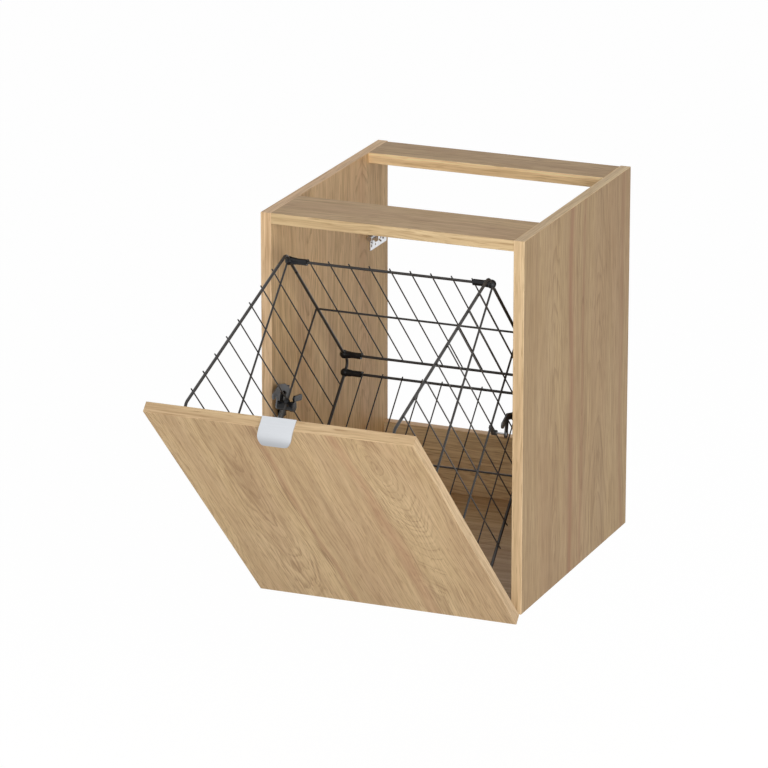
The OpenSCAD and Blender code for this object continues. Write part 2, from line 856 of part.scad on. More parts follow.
module basket_back_grid() {
    end_x = frame_x - frame_r - 0.5;
    color(wire_grey) from_front() tilted() {
        rod(basket_back, upper_rod_z, rod_d, end_x);
        rod(basket_back, low_rod_z, rod_d, end_x);
        rod(basket_back + mid_out, middle_wire_z, mid_wire_d, frame_x - frame_r - 0.3);
        for (k = [-mesh_count:mesh_count])
            wire([k * mesh_pitch, back_mesh_y, low_rod_z],
                 [k * mesh_pitch, back_mesh_y, upper_rod_z + tick + rod_d / 2],
                 mesh_wire_d);
    }
}

module basket_bottom_grid() {
    end_x = frame_x - frame_r - 0.5;
    color(wire_grey) from_front() tilted() {
        rod(rear_rod_y, basket_z, rod_d, end_x);
        rod(front_rod_y, basket_z, rod_d, end_x);
        rod(lever_wire_y, basket_z + mid_out, mid_wire_d, frame_x - frame_r - 0.3);
        for (k = [-mesh_count:mesh_count])
            wire([k * mesh_pitch, front_rod_y - bottom_tick - rod_d / 2, bottom_mesh_z],
                 [k * mesh_pitch, rear_rod_y + bottom_tick + rod_d / 2, bottom_mesh_z],
                 mesh_wire_d);
    }
}

// A moulded tee: a ball on the side frame's wire and a sleeve on the cross rod.
// The side frame's wire runs upright through it, or level if flat is true.
module connector(y, z, flat = false, slot = false) {
    color(black) difference() {
        translate([frame_x, y, z]) union() {
            sphere(d = ball_d);
            rotate([0, -90, 0]) cylinder(h = sleeve_l, d = sleeve_d);
            translate([-ball_d * 0.3, 0, 0]) rotate([0, -90, 0])
                cylinder(h = ball_d * 0.5, d1 = ball_d * 0.85, d2 = sleeve_d + 0.8);
        }
        if (flat)
            y_cylinder(frame_x, y - ball_d, z, 2 * ball_d, frame_wire_d + 2 * fit_slack);
        else
            translate([frame_x, y, z - ball_d])
                cylinder(h = 2 * ball_d, d = frame_wire_d + 2 * fit_slack);
        x_bar(frame_x - sleeve_l - 1, frame_x, y, z, rod_d + 2 * fit_slack);
        if (slot)
            y_cylinder(mid_x, y - ball_d, z, ball_d + frame_r + 1.5, mid_wire_d + 2 * fit_slack);
    }
}

module upper_connector() { connector(basket_back, upper_rod_z, slot = true); }
module middle_connector() { connector(basket_back, low_rod_z); }
module lower_connector() { connector(rear_rod_y, basket_z, flat = true); }
module front_connector() { connector(front_rod_y, basket_z, flat = true); }

module upper_left_connector() { from_front() tilted() mirrored() upper_connector(); }
module upper_right_connector() { from_front() tilted() upper_connector(); }
module middle_left_connector() { from_front() tilted() mirrored() middle_connector(); }
module middle_right_connector() { from_front() tilted() middle_connector(); }
module lower_left_connector() { from_front() tilted() mirrored() lower_connector(); }
module lower_right_connector() { from_front() tilted() lower_connector(); }
module front_left_connector() { from_front() tilted() mirrored() front_connector(); }
module front_right_connector() { from_front() tilted() front_connector(); }

// Saddles that hold the basket's front uprights to the front panel

module saddle_screws_closed(slack = 0) {
    both_sides() for (z = saddle_zs) for (s = [-1, 1])
        translate([frame_x + s * saddle_screw_x, door_back + saddle_base_t, z])
            rotate([-90, 0, 0])
                countersunk(saddle_screw_d, saddle_screw_head_d, saddle_screw_l, slack);
}

module basket_saddles() {
    crown_d = frame_wire_d + 5;
    color(black) from_front() tilted() difference() {
        both_sides() for (z = saddle_zs) translate([0, 0, z - saddle_h / 2]) {
            translate([frame_x - saddle_w / 2, door_back, 0])
                cube([saddle_w, saddle_base_t, saddle_h]);
            translate([frame_x - crown_d / 2, door_back, 0])
                cube([crown_d, basket_front - door_back, saddle_h]);
            translate([frame_x, basket_front, 0]) cylinder(h = saddle_h, d = crown_d + bend_step);
        }
        both_sides() translate([frame_x, basket_front, 0])
            cylinder(h = cabinet_h, d = frame_wire_d + 2 * fit_slack);
        saddle_screws_closed(fit_slack);
    }
}

module saddle_screws() {
    color(steel) from_front() tilted() saddle_screws_closed();
}

// Tilt stops on the basket, drawn on the right side and closed

// A barrel of diameter d carries the shaft, and its arm reaches up and clips over the level wire.
module lever_holder(out_x, d, arm_w) {
    arm_x = mid_x + mid_wire_d / 2 + holder_wall;
    arm_top = middle_wire_z + mid_wire_d / 2 + holder_wall;
    difference() {
        union() {
            x_bar(holder_in_x, out_x, lever_y, lever_z, d);
            translate([holder_in_x, lever_y - arm_w / 2, lever_z])
                cube([arm_x - holder_in_x, arm_w, arm_top - lever_z]);
        }
        translate([mesh_x, lever_wire_y, lever_z - d])
            cylinder(h = 2 * d + lever_drop, d = mesh_wire_d + 2 * fit_slack);
        y_cylinder(mid_x, lever_y - d, middle_wire_z, 2 * d, mid_wire_d + 2 * fit_slack);
        x_bar(holder_in_x - 1, out_x + 1, lever_y, lever_z, shaft_d + 2 * shaft_slack);
    }
}

module left_lever_holder() {
    color(black) from_front() tilted() mirrored() lever_holder(holder_out_x, holder_d, holder_arm_w);
}

module right_lever_holder() {
    color(wire_grey) from_front() tilted() lever_holder(clip_out_x, clip_d, clip_arm_w);
}

// Sets a side view, drawn open round the lever axis, between two x places.
module lever_slab(x_a, x_b) {
    translate([min(x_a, x_b), lever_open[0], lever_open[1]]) rotate([90, 0, 90])
        linear_extrude(height = abs(x_b - x_a)) children();
}

// A flat strip from a to b; the round ends are drawn apart and stand a little proud of it.
module strip(a, b, r) {
    v = b - a;
    translate(a) rotate(atan2(v[1], v[0]))
        translate([0, round_proud - r]) square([norm(v), 2 * (r - round_proud)]);
}

module round_ends(places, r) {
    for (p = places) translate(p) circle(r = r);
}

module shaft_cut(slack) {
    x_bar(0, half_w, lever_open[0], lever_open[1], shaft_d + 2 * slack);
}

module stop_lever(line) {
    color([0.55, 0.56, 0.58]) from_front() difference() {
        union() {
            lever_slab(lever_in_x, lever_out_x) {
                for (i = [0:len(line) - 2]) strip(line[i], line[i + 1], arc_r);
                strip(lever_crown, [0, 0], arc_r);
                round_ends(line, arc_r);
                circle(r = arc_r + 1);
            }
            lever_slab(lever_in_x, inner_x - 1.5)
                translate([hook_y, hook_low]) square([hook_t, hook_top - hook_low]);
        }
        shaft_cut(fit_slack);
    }
}

module left_stop_lever() { mirrored() stop_lever(left_lever_line); }
module right_stop_lever() { stop_lever(right_lever_line); }

module lever_axis_bar(in_x, out_x, d) {
    x_bar(in_x, out_x, lever_open[0], lever_open[1], d);
}

// The left shaft ends in the knob and the right one in a second head.
module left_lever_shaft() {
    color(steel) from_front() mirrored() {
        lever_axis_bar(knob_out_x - knob_t + 1, lever_out_x, shaft_d);
        lever_axis_bar(lever_out_x, lever_out_x + shaft_head_t, shaft_head_d);
    }
}

module right_lever_shaft() {
    color(steel) from_front() {
        lever_axis_bar(knob_out_x, lever_out_x, shaft_d);
        lever_axis_bar(lever_out_x, lever_out_x + shaft_head_t, shaft_head_d);
        lever_axis_bar(knob_out_x - shaft_head_t, knob_out_x, shaft_head_d);
    }
}

// The knob is drawn on the right side and belongs on the left.
module left_release_knob() {
    color(black) from_front() mirrored() difference() {
        union() {
            lever_axis_bar(knob_out_x - knob_t, knob_out_x, knob_d);
            lever_slab(knob_out_x - knob_t - paddle_over, knob_out_x - knob_t + paddle_t) {
                strip(paddle_from, paddle_to, paddle_r);
                round_ends([paddle_from, paddle_to], paddle_r);
            }
        }
        lever_axis_bar(knob_out_x - knob_t + 1 - fit_slack, knob_out_x + 1, shaft_d + 2 * fit_slack);
    }
}

left_side_panel();
right_side_panel();
bottom_panel();
back_board();
front_top_rail();
rear_top_rail();
dowels();
cam_bolts();
cam_locks();
left_wall_hanger();
right_wall_hanger();
left_hanger_hook();
right_hanger_hook();
hanger_adjusting_screws();
hanger_fixing_screws();
left_stop_block();
right_stop_block();
stop_block_screws();
left_hinge_fixed_leaf();
right_hinge_fixed_leaf();
left_hinge_pin();
right_hinge_pin();
fixed_leaf_screws();
front_panel();
front_bumpers();
handle();
handle_screws();
left_hinge_front_leaf();
right_hinge_front_leaf();
front_leaf_screws();
basket_left_side();
basket_right_side();
basket_back_grid();
basket_bottom_grid();
upper_left_connector();
upper_right_connector();
middle_left_connector();
middle_right_connector();
lower_left_connector();
lower_right_connector();
front_left_connector();
front_right_connector();
basket_saddles();
saddle_screws();
left_lever_holder();
right_lever_holder();
left_stop_lever();
right_stop_lever();
left_lever_shaft();
right_lever_shaft();
left_release_knob();
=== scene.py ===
"""The laundry cabinet's looks: oak boards, a satin handle, a dark wire basket and zinc fittings."""

import json
import math

import bmesh
import bpy
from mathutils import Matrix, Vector


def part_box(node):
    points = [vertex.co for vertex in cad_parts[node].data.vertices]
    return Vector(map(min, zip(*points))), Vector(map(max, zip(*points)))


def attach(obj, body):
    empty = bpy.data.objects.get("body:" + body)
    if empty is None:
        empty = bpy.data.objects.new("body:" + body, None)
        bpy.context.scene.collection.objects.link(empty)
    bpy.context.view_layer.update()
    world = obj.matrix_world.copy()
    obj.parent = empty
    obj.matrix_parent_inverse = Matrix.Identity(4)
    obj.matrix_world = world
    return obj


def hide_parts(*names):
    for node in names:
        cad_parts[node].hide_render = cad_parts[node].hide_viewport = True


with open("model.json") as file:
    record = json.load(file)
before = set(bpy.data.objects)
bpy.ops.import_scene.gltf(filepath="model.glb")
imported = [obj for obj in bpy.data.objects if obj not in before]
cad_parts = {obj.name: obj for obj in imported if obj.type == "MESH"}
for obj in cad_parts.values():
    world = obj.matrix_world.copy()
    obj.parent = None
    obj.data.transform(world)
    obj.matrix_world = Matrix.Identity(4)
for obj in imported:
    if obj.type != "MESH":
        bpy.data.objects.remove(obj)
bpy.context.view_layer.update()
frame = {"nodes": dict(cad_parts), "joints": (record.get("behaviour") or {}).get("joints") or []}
nodes = frame["nodes"]

# The front leans out about its hinge axis by the whole range of its joint.
front_tilt = next(joint for joint in frame["joints"] if joint["name"] == "front_tilt")
HINGE = Vector(front_tilt["pos_m"])
OPEN_ANGLE = math.radians(-front_tilt["range_deg"][0])

SIDES = ("left", "right")

# The camera has the photograph's viewing angle. Places are in metres, lens and sensor in millimetres.
CAMERA_PLACE = (2.6461, -6.8303, 2.5082)
CAMERA_DOWN = math.radians(17.546)
CAMERA_TURN = math.radians(22.551)
CAMERA_LENS = 240.8
CAMERA_SENSOR = 36.0
CAMERA_REACH = 60.0

# The lamps aim at about the object's middle. The floor lies well below the part, which hangs on a wall.
MIDDLE = (0.0, -0.35, 0.28)
FLOOR_HEIGHT = -0.35
FLOOR_SIZE = 30.0
FLOOR_GREY = (0.86, 0.86, 0.86, 1.0)
WHITE = (1.0, 1.0, 1.0, 1.0)

# The world's strength on the object, the floor's own glow and the glow's share where the floor is seen
WORLD_LEVEL = 0.5
FLOOR_GLOW = 1.08
GLOW_SHARE = 0.86

# Colours are linear RGB.
OAK_YELLOW = (0.56, 0.395, 0.215)
OAK_PINK = (0.49, 0.325, 0.180)
OAK_PALE = (0.64, 0.475, 0.290)
OAK_DARK = (0.27, 0.155, 0.070)
OAK_RED = (0.36, 0.175, 0.092)

# The bare board edges are brighter than the faces by this much: partly a paler edge band, partly painted
# light on edges that face the lamps.
EDGE_TONE_AND_PAINTED_LIGHT = (1.60, 1.62, 1.68)

# How far each kind of mark takes the wood towards its own colour
PALE_SHARE = 0.34
BROAD_SHARE = 0.26
THIN_SHARE = 0.76
STREAK_SHARE = 0.22
FIBRE_SHARE = 0.50
PORE_SHARE = 0.72
KNOT_SHARE = 0.75

# Which axes run across the grain, along it and through the board: 0 is x, 1 is y and 2 is z
LYING = (1, 0, 2)
UPRIGHT_LEVEL_GRAIN = (2, 0, 1)
UPRIGHT_FRONT = (0, 2, 1)
UPRIGHT_SIDE = (1, 2, 0)

# A surface is an edge of the board if its normal points along the board's plane by more than this.
FACING = 0.6

# One unit of seed moves the noise by this many metres across the board and along it.
SEED_STEP = (0.37, 1.13)

# The noise changes this many times faster through the board.
THROUGH_BOARD = 40.0

# Width of a growth ring in metres, and how many rings its line wavers and strays by for one unit of noise
RING = 0.0042
RING_WAVER = 1.9
RING_STRAY = 2.2

# How far the rings and the fibres wander sideways for one unit of noise, in metres
RING_WANDER = 0.05
FIBRE_WANDER = 0.03

# Ring lines are half as strong beyond the first distance from an arch's middle as within the second.
ARCH_FADE = (0.055, 0.012)

# A single arch line: half its width, how far it wavers, where it fades in and where it fades out again
LINE_WIDTH = 0.0030
LINE_WAVER = 0.004
LINE_START = 0.004
LINE_END = (0.26, 0.03)

# A knot's width is this share of its length, and its darkest middle this share of its radius.
KNOT_SQUEEZE = 0.45
KNOT_MIDDLE = 0.3

# Oak's relief, gloss and roughness: fibres stand up, pores lie deep, and fibres are the rougher.
FIBRE_RELIEF = 0.6
PORE_RELIEF = 0.8
OAK_SPECULAR = 0.3
OAK_ROUGHNESS = 0.42
FIBRE_ROUGHNESS = 0.2

# How far the roughness of metal and of paint varies in all
METAL_SPREAD = 0.1
PAINT_SPREAD = 0.16

# The lighter tone of paint is brighter by a factor and a small step.
PAINT_FACTOR = 1.5
PAINT_STEP = 0.004

# Painted shade on the handle: its lower part keeps this share of its brightness, over this share of the
# handle's height, in place of a darker reflection.
SHADED_SHARE = 0.66
SHADED_HEIGHT = 0.45

# The handle's edges are rounded by this much, in metres.
HANDLE_EDGE = 0.0004

# Faces that meet at less than the first angle are merged, and edges sharper than the second are rounded.
FLAT_ANGLE = math.radians(1.0)
SHARP_ANGLE = math.radians(40.0)
SAME_PLACE = 1e-6
ROUNDING_STEPS = 2


class Tree:
    """A small helper that adds and links the shader nodes of a material or a world."""

    def __init__(self, owner):
        owner.use_nodes = True
        self.tree = owner.node_tree
        self.tree.nodes.clear()

    def node(self, kind, settings=None, **inputs):
        """Adds a node; an input's name has _ for a space."""
        made = self.tree.nodes.new("ShaderNode" + kind)
        for name, value in (settings or {}).items():
            setattr(made, name, value)
        for name, value in inputs.items():
            self.feed(made, name.replace("_", " "), value)
        return made

    def feed(self, target, name, value):
        """Links a socket or sets a plain value on an input, named by its name or its number."""
        socket = target.inputs[int(name)] if name.isdigit() else target.inputs[name]
        if isinstance(value, bpy.types.NodeSocket):
            self.tree.links.new(value, socket)
        else:
            socket.default_value = value

    def math(self, operation, a, b=0.0):
        made = self.node("Math", {"operation": operation})
        self.feed(made, "0", a)
        self.feed(made, "1", b)
        return made.outputs[0]

    def vector_math(self, operation, a, b):
        made = self.node("VectorMath", {"operation": operation})
        self.feed(made, "0", a)
        self.feed(made, "1", b)
        return made.outputs[0]

    def plus(self, *values):
        total = values[0]
        for value in values[1:]:
            total = self.math("ADD", total, value)
        return total

    def minus(self, a, b):
        return self.math("SUBTRACT", a, b)

    def times(self, *values):
        product = values[0]
        for value in values[1:]:
            product = self.math("MULTIPLY", product, value)
        return product

    def magnitude(self, value):
        return self.math("ABSOLUTE", value)

    def centred(self, value):
        """A value around 0.5, moved to lie around 0."""
        return self.minus(value, 0.5)

    def around(self, middle, noise, spread):
        """A value that a noise moves about its middle."""
        return self.plus(middle, self.times(self.centred(noise), spread))

    def at_least(self, low, mask):
        """A mask of 0 to 1, raised to lie between low and 1."""
        return self.plus(low, self.times(mask, 1.0 - low))

    def ramp(self, factor, low, high):
        """0 up to low, 1 from high on and smooth between; falls where high is the lower one."""
        made = self.node("MapRange", {"interpolation_type": "SMOOTHSTEP"}, Value=factor)
        self.feed(made, "From Min", low)
        self.feed(made, "From Max", high)
        return made.outputs[0]

    def mix(self, factor, a, b):
        """Mixes two colours."""
        made = self.node("Mix", {"data_type": "RGBA"})
        self.feed(made, "0", factor)
        self.feed(made, "6", a if isinstance(a, bpy.types.NodeSocket) else (*a, 1.0))
        self.feed(made, "7", b if isinstance(b, bpy.types.NodeSocket) else (*b, 1.0))
        return made.outputs[2]

    def mix_values(self, factor, a, b):
        made = self.node("Mix", {"data_type": "FLOAT"})
        for slot, value in (("0", factor), ("2", a), ("3", b)):
            self.feed(made, slot, value)
        return made.outputs[0]

    def mix_vectors(self, factor, a, b):
        made = self.node("Mix", {"data_type": "VECTOR"})
        for slot, value in (("0", factor), ("4", a), ("5", b)):
            self.feed(made, slot, value)
        return made.outputs[1]

    def vector(self, x=0.0, y=0.0, z=0.0):
        return self.node("CombineXYZ", X=x, Y=y, Z=z).outputs[0]

    def parts(self, vector):
        return self.node("SeparateXYZ", Vector=vector).outputs

    def distance(self, x, y):
        """The length of the flat vector x, y."""
        return self.node("VectorMath", {"operation": "LENGTH"}, Vector=self.vector(x, y)).outputs["Value"]

    def noise(self, vector, scale, detail=3.0, roughness=0.5):
        made = self.node("TexNoise", Vector=vector, Scale=scale, Detail=detail, Roughness=roughness)
        return made.outputs["Fac"]

    def noise_along(self, value, scale, detail):
        """Noise along a single value, for lines that follow it."""
        made = self.node("TexNoise", {"noise_dimensions": "1D"}, W=value, Scale=scale, Detail=detail)
        return made.outputs["Fac"]

    def finish(self, bump_height, bump_strength, bump_depth, **sockets):
        """Ends a material with a Principled shader and a bump, and returns the shader."""
        shader = self.node("BsdfPrincipled", **sockets)
        bump = self.node("Bump", Height=bump_height, Strength=bump_strength, Distance=bump_depth)
        self.feed(shader, "Normal", bump.outputs[0])
        self.end(shader)
        return shader

    def end(self, shader, kind="OutputMaterial"):
        self.tree.links.new(shader.outputs[0], self.node(kind).inputs[0])


def board_places(t, axes, leaning):
    """Coordinates on a board: across the grain, along it and through the board, and a mask of its edges.

    On a long edge the thickness runs across, and on an end edge the grain runs along the edge.
    """
    coordinates = t.node("TexCoord")
    place, normal = coordinates.outputs["Object"], coordinates.outputs["Normal"]
    if leaning:
        about_x = {"rotation_type": "X_AXIS"}
        place = t.node("VectorRotate", about_x, Vector=place, Center=HINGE, Angle=-OPEN_ANGLE).outputs[0]
        normal = t.node("VectorRotate", about_x, Vector=normal, Angle=-OPEN_ANGLE).outputs[0]
    position, direction = t.parts(place), t.parts(normal)
    across, length, depth = (position[i] for i in axes)
    on_long_edge, on_end = (t.math("GREATER_THAN", t.magnitude(direction[i]), FACING) for i in axes[:2])
    place = t.mix_vectors(on_long_edge, t.vector(across, length, depth), t.vector(depth, length, across))
    place = t.mix_vectors(on_end, place, t.vector(depth, across, length))
    return place, t.math("MAXIMUM", on_long_edge, on_end)


class Grain:
    """The grain of one oak board cut flat from the log: places on the board and masks of its marks."""

    def __init__(self, t, axes, leaning, seed):
        self.t = t
        place, self.edge = board_places(t, axes, leaning)
        self.face = t.minus(1.0, self.edge)
        self.across, self.length = t.parts(place)[:2]
        moved = t.vector_math("ADD", place, (seed * SEED_STEP[0], seed * SEED_STEP[1], 0.0))
        self.sown = t.vector_math("MULTIPLY", moved, (1.0, 1.0, THROUGH_BOARD))
        wander = t.centred(self.noise(self.sown, 9.0, 2.4, detail=2.0))
        self.drift = t.plus(self.across, t.times(wander, RING_WANDER))
        self.bent = t.vector_math("ADD", self.sown, t.vector(t.times(wander, FIBRE_WANDER)))
        self.waver = t.centred(self.noise(self.sown, 48.0, 9.0, detail=2.0))
        self.fibre = self.noise(self.bent, 360.0, 13.0, roughness=0.62)
        self.broken = t.at_least(0.25, t.ramp(self.fibre, 0.38, 0.60))

    def noise(self, place, across, along, **look):
        """Noise in streaks, of about so many features per metre across the grain and along it."""
        return self.t.noise(self.t.vector_math("MULTIPLY", place, (across, along, 1.0)), 1.0, **look)

    def rings(self, hearts):
        """Masks of the broad rings, the thin dark lines and the early wood between them."""
        t = self.t
        radius = None
        nearest = 1.0
        for middle, height, opening in hearts:
            off = t.minus(self.drift, middle)
            arch = t.distance(off, t.times(t.minus(self.length, height), opening))
            radius = arch if radius is None else t.math("MINIMUM", radius, arch)
            if opening:
                nearest = t.math("MINIMUM", nearest, t.magnitude(off))
        radius = t.mix_values(self.edge, radius, self.across)
        stray = t.times(t.centred(t.noise_along(radius, scale=90.0, detail=2.0)), RING_STRAY)
        rings = t.plus(t.math("DIVIDE", radius, RING), t.times(self.waver, RING_WAVER), stray)
        cycle = t.math("FRACT", rings)
        broad = t.ramp(t.noise_along(rings, scale=0.30, detail=2.0), 0.44, 0.66)
        clear = t.ramp(t.noise_along(rings, scale=0.8, detail=1.0), 0.32, 0.56)
        flat_cut = t.at_least(0.5, t.ramp(nearest, *ARCH_FADE))
        thin = t.times(t.ramp(cycle, 0.45, 0.97), clear, flat_cut, self.broken)
        return broad, thin, t.ramp(cycle, 0.55, 0.15)

    def streaks(self):
        """Long soft streaks."""
        return self.t.ramp(self.noise(self.bent, 130.0, 2.4, roughness=0.6), 0.42, 0.68)

    def fibres(self):
        """Fine fibres, stronger in some patches than in others."""
        patchy = self.t.ramp(self.noise(self.sown, 40.0, 7.0, detail=2.0), 0.35, 0.65)
        return self.t.times(self.t.ramp(self.fibre, 0.42, 0.66), self.t.at_least(0.5, patchy))

    def pores(self, early):
        """Short open pores, most of them in the early wood."""
        pores = self.t.ramp(self.noise(self.bent, 620.0, 30.0, detail=1.0), 0.56, 0.68)
        return self.t.times(pores, self.t.at_least(0.2, early))

    def dashes(self):
        """Dark dashes, which show only in bands."""
        return self.t.ramp(self.noise(self.bent, 520.0, 11.0, detail=2.0), 0.50, 0.60)

    def band(self, where, width, strength):
        """A band on the board's faces, strongest at its middle."""
        off = self.t.magnitude(self.t.minus(self.drift, where))
        return self.t.times(self.t.ramp(off, width, 0.0), self.face, strength)

    def arch(self, where, tip, way, opening, strength):
        """A single line that opens from its tip like a parabola."""
        t = self.t
        rise = t.times(t.minus(self.length, tip), way)
        spread = t.times(t.math("SQRT", t.math("MAXIMUM", rise, 0.0)), opening)
        off = t.minus(t.magnitude(t.minus(self.drift, where)), spread)
        off = t.magnitude(t.plus(off, t.times(self.waver, LINE_WAVER)))
        reach = t.times(t.ramp(rise, 0.0, LINE_START), t.ramp(rise, *LINE_END))
        line = t.times(t.ramp(off, LINE_WIDTH, 0.0), t.at_least(0.45, self.broken))
        return t.times(line, reach, self.face, strength)

    def knot(self, where, height, radius):
        """A small dark spot, longer along the grain than across it."""
        t = self.t
        rise = t.times(t.minus(self.length, height), KNOT_SQUEEZE)
        away = t.distance(t.minus(self.across, where), rise)
        return t.times(t.ramp(away, radius, radius * KNOT_MIDDLE), self.face, KNOT_SHARE)


def oak(name, axes, seed, hearts, leaning=False, tone_and_painted_light=(1.0, 1.0, 1.0), edge_tone_and_painted_light=EDGE_TONE_AND_PAINTED_LIGHT, contrast=1.0,
        streaks=(), dashes=(), arches=(), knots=()):
    """Oak veneer whose growth rings show as long nested arches.

    Places are in metres across the board and along it. The tints multiply the colour of faces and edges:
    partly the board's own tone, partly painted light that lightens or darkens a board as light falls on it.
    hearts: middles of nested arches, with how much a ring widens per metre; 0 gives straight lines
    streaks, dashes: reddish bands and bands of dark dashes, each a place across, a width and a strength
    arches: single lines, each the place and height of its tip, 1 where it opens upwards or -1 downwards,
    how fast it opens, and its strength
    knots: small dark spots, each a place, a height and a radius
    """
    material = bpy.data.materials.new(name)
    t = Tree(material)
    grain = Grain(t, axes, leaning, seed)
    warmth = t.ramp(grain.noise(grain.sown, 16.0, 1.5), 0.36, 0.66)
    cloud = t.ramp(grain.noise(grain.sown, 13.0, 4.0), 0.38, 0.70)
    colour = t.mix(warmth, OAK_YELLOW, OAK_PINK)
    colour = t.mix(t.times(cloud, PALE_SHARE), colour, OAK_PALE)

    broad, thin, early = grain.rings(hearts)
    pores = grain.pores(early)
    marks = ((broad, BROAD_SHARE), (thin, THIN_SHARE), (grain.streaks(), STREAK_SHARE),
             (grain.fibres(), FIBRE_SHARE), (pores, PORE_SHARE))
    for mask, share in marks:
        colour = t.mix(t.times(mask, share * contrast), colour, OAK_DARK)
    for streak in streaks:
        colour = t.mix(grain.band(*streak), colour, OAK_RED)
    dashed = grain.dashes()
    for dash in dashes:
        colour = t.mix(t.times(dashed, grain.band(*dash)), colour, OAK_DARK)
    for arch in arches:
        colour = t.mix(grain.arch(*arch), colour, OAK_DARK)
    for knot in knots:
        colour = t.mix(grain.knot(*knot), colour, OAK_DARK)
    # Painted light: each board's faces and edges are made lighter or darker as light falls on them, together
    # with their own tone.
    colour = t.vector_math("MULTIPLY", colour, t.mix(grain.edge, tone_and_painted_light, edge_tone_and_painted_light))

    height = t.minus(t.times(grain.fibre, FIBRE_RELIEF), t.times(pores, PORE_RELIEF))
    rough = t.plus(OAK_ROUGHNESS, t.times(grain.fibre, FIBRE_ROUGHNESS))
    shader = t.finish(height, bump_strength=0.3, bump_depth=0.0001, Base_Color=colour, Roughness=rough)
    shader.inputs["Specular IOR Level"].default_value = OAK_SPECULAR
    return material


def metal(name, colour, roughness, spangle=0.06, grain=(60.0, 60.0, 60.0), shade_below=None):
    """A satin or plated metal with a slightly uneven gloss, with painted shade that darkens it towards the
    bottom between two heights if given.
    """
    material = bpy.data.materials.new(name)
    t = Tree(material)
    place = t.node("TexCoord").outputs["Object"]
    cloud = t.noise(t.vector_math("MULTIPLY", place, grain), 1.0, detail=4.0, roughness=0.6)
    fine = t.noise(place, scale=2600.0, detail=2.0)
    darker = tuple(c * (1.0 - spangle * 2) for c in colour)
    base = t.mix(t.ramp(cloud, 0.3, 0.7), colour, darker)
    # Painted shade: the colour darkens towards the lower height, standing in for a darker reflection.
    if shade_below:
        shaded_colour = tuple(c * SHADED_SHARE for c in colour)
        base = t.mix(t.ramp(t.parts(place)[2], shade_below[1], shade_below[0]), base, shaded_colour)
    rough = t.around(roughness, cloud, METAL_SPREAD)
    shader = t.finish(fine, bump_strength=0.12, bump_depth=0.00005, Base_Color=base, Roughness=rough)
    shader.inputs["Metallic"].default_value = 1.0
    return material


def painted(name, colour, roughness, peel=1400.0, depth=0.00008, specular=0.5):
    """Powder coat or moulded plastic with a fine uneven skin."""
    material = bpy.data.materials.new(name)
    t = Tree(material)
    place = t.node("TexCoord").outputs["Object"]
    skin = t.noise(place, scale=peel, detail=3.0, roughness=0.6)
    cloud = t.noise(place, scale=35.0, detail=3.0)
    lighter = tuple(min(1.0, c * PAINT_FACTOR + PAINT_STEP) for c in colour)
    base = t.mix(t.times(t.ramp(cloud, 0.35, 0.7), 0.5), colour, lighter)
    rough = t.around(roughness, cloud, PAINT_SPREAD)
    shader = t.finish(skin, bump_strength=0.2, bump_depth=depth, Base_Color=base, Roughness=rough)
    shader.inputs["Specular IOR Level"].default_value = specular
    return material


def both(name):
    """A node's left and right names."""
    return tuple(side + "_" + name for side in SIDES)


def dress(material, *names):
    """Gives CAD nodes a material in their object's slots."""
    for name in names:
        piece = nodes[name]
        if not piece.material_slots:
            piece.data.materials.append(None)
        for slot in piece.material_slots:
            slot.link = "OBJECT"
            slot.material = material


def eased(name, width):
    """A copy of a CAD node with its sharp edges rounded, which stands for the node."""
    source = nodes[name]
    mesh = source.data.copy()
    work = bmesh.new()
    work.from_mesh(mesh)
    bmesh.ops.remove_doubles(work, verts=work.verts, dist=SAME_PLACE)
    bmesh.ops.dissolve_limit(work, angle_limit=FLAT_ANGLE, verts=work.verts, edges=work.edges)
    work.to_mesh(mesh)
    work.free()
    piece = bpy.data.objects.new(name + "_eased", mesh)
    bpy.context.scene.collection.objects.link(piece)
    piece.matrix_world = source.matrix_world.copy()
    bevel = piece.modifiers.new("edges", "BEVEL")
    bevel.width = width
    bevel.segments = ROUNDING_STEPS
    bevel.limit_method = "ANGLE"
    bevel.angle_limit = SHARP_ANGLE
    bevel.harden_normals = True
    for polygon in mesh.polygons:
        polygon.use_smooth = True
    for slot, held in zip(piece.material_slots, source.material_slots):
        slot.link = "OBJECT"
        slot.material = held.material
    return piece


def make_camera():
    camera = bpy.data.cameras.new("camera")
    camera.sensor_width = CAMERA_SENSOR
    camera.lens = CAMERA_LENS
    camera.clip_end = CAMERA_REACH
    seat = bpy.data.objects.new("camera", camera)
    seat.location = CAMERA_PLACE
    seat.rotation_euler = (math.pi / 2 - CAMERA_DOWN, 0.0, CAMERA_TURN)
    bpy.context.scene.collection.objects.link(seat)
    bpy.context.scene.camera = seat


def seen(t):
    """1 on rays that see the background: camera, glossy and transmission rays."""
    path = t.node("LightPath").outputs
    rays = t.plus(path["Is Camera Ray"], path["Is Glossy Ray"], path["Is Transmission Ray"])
    return t.math("MINIMUM", rays, 1.0)


def make_world():
    """White where it is seen, and plain even light on the object."""
    world = bpy.data.worlds.new("studio")
    bpy.context.scene.world = world
    t = Tree(world)
    strength = t.at_least(WORLD_LEVEL, seen(t))
    t.end(t.node("Background", Color=WHITE, Strength=strength), "OutputWorld")


def make_floor():
    """A pale floor that is white to the camera, apart from the object's soft shadow."""
    bpy.ops.mesh.primitive_plane_add(size=FLOOR_SIZE, location=(0.0, 0.0, FLOOR_HEIGHT))
    floor = bpy.context.object
    floor.name = "floor"
    material = bpy.data.materials.new("floor")
    t = Tree(material)
    diffuse = t.node("BsdfDiffuse", Color=FLOOR_GREY)
    glow = t.node("Emission", Color=WHITE, Strength=FLOOR_GLOW)
    mixed = t.node("MixShader", Fac=t.times(seen(t), GLOW_SHARE))
    t.tree.links.new(diffuse.outputs[0], mixed.inputs[1])
    t.tree.links.new(glow.outputs[0], mixed.inputs[2])
    t.end(mixed)
    floor.data.materials.append(material)


